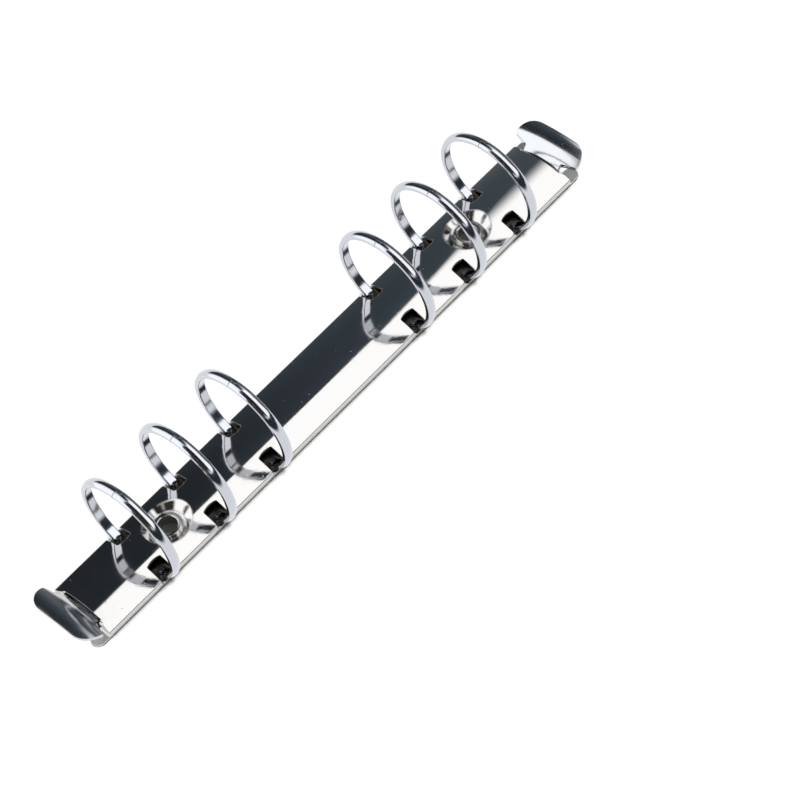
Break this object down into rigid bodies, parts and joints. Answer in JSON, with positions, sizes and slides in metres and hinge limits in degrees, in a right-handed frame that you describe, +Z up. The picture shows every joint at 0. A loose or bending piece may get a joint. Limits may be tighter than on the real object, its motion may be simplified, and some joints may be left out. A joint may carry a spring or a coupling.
{
  "type": "ring binder mechanism",
  "caption": "Metal ring binder mechanism with a domed cover, split rings on hinged rails, mounting eyelets and a thumb lever at each end.",
  "frame": {"origin": "bottom centre of the mechanism, on the plane the cover's hems rest on", "axes": "+X along the spine, +Y across it, +Z up from the base to the top of the rings"},
  "size_m": [0.18, 0.03, 0.0285],
  "materials": {
    "cover_plate": "bright nickel plate, mirror smooth",
    "ring_plate": "bright nickel plate, mirror smooth",
    "lever_plate": "bright nickel plate, mirror smooth",
    "eyelet_plate": "bright nickel plate, mirror smooth",
    "rail_steel": "dull zinc plate",
    "pin_steel": "drawn steel"
  },
  "bodies": {
    "cover": {"cover": "cover_plate", "left_lever_pin": "pin_steel", "right_lever_pin": "pin_steel", "left_eyelet": "eyelet_plate", "right_eyelet": "eyelet_plate"},
    "front_rail": {"front_rail": "rail_steel", "front_half_ring_1": "ring_plate", "front_half_ring_2": "ring_plate", "front_half_ring_3": "ring_plate", "front_half_ring_4": "ring_plate", "front_half_ring_5": "ring_plate", "front_half_ring_6": "ring_plate"},
    "back_rail": {"back_rail": "rail_steel", "back_half_ring_1": "ring_plate", "back_half_ring_2": "ring_plate", "back_half_ring_3": "ring_plate", "back_half_ring_4": "ring_plate", "back_half_ring_5": "ring_plate", "back_half_ring_6": "ring_plate"},
    "left_lever": {"left_lever": "lever_plate"},
    "right_lever": {"right_lever": "lever_plate"}
  },
  "joints": [
    {"name": "front_rail_hinge", "type": "hinge", "parent": "cover", "child": "front_rail", "pos_m": [0, -0.00825, 0.00135], "axis": [1, 0, 0], "range_deg": [0, 11.2]},
    {"name": "back_rail_hinge", "type": "hinge", "parent": "cover", "child": "back_rail", "pos_m": [0, 0.00825, 0.00135], "axis": [-1, 0, 0], "range_deg": [0, 11.2]},
    {"name": "left_lever_hinge", "type": "hinge", "parent": "cover", "child": "left_lever", "pos_m": [-0.0802, 0, 0.0016], "axis": [0, -1, 0], "range_deg": [0, 19.2]},
    {"name": "right_lever_hinge", "type": "hinge", "parent": "cover", "child": "right_lever", "pos_m": [0.0802, 0, 0.0016], "axis": [0, 1, 0], "range_deg": [0, 19.2]}
  ],
  "couplings": [
    {"joint": "back_rail_hinge", "follows": "front_rail_hinge", "ratio": 1},
    {"joint": "left_lever_hinge", "follows": "front_rail_hinge", "ratio": 1.7101},
    {"joint": "right_lever_hinge", "follows": "front_rail_hinge", "ratio": 1.7101}
  ]
}
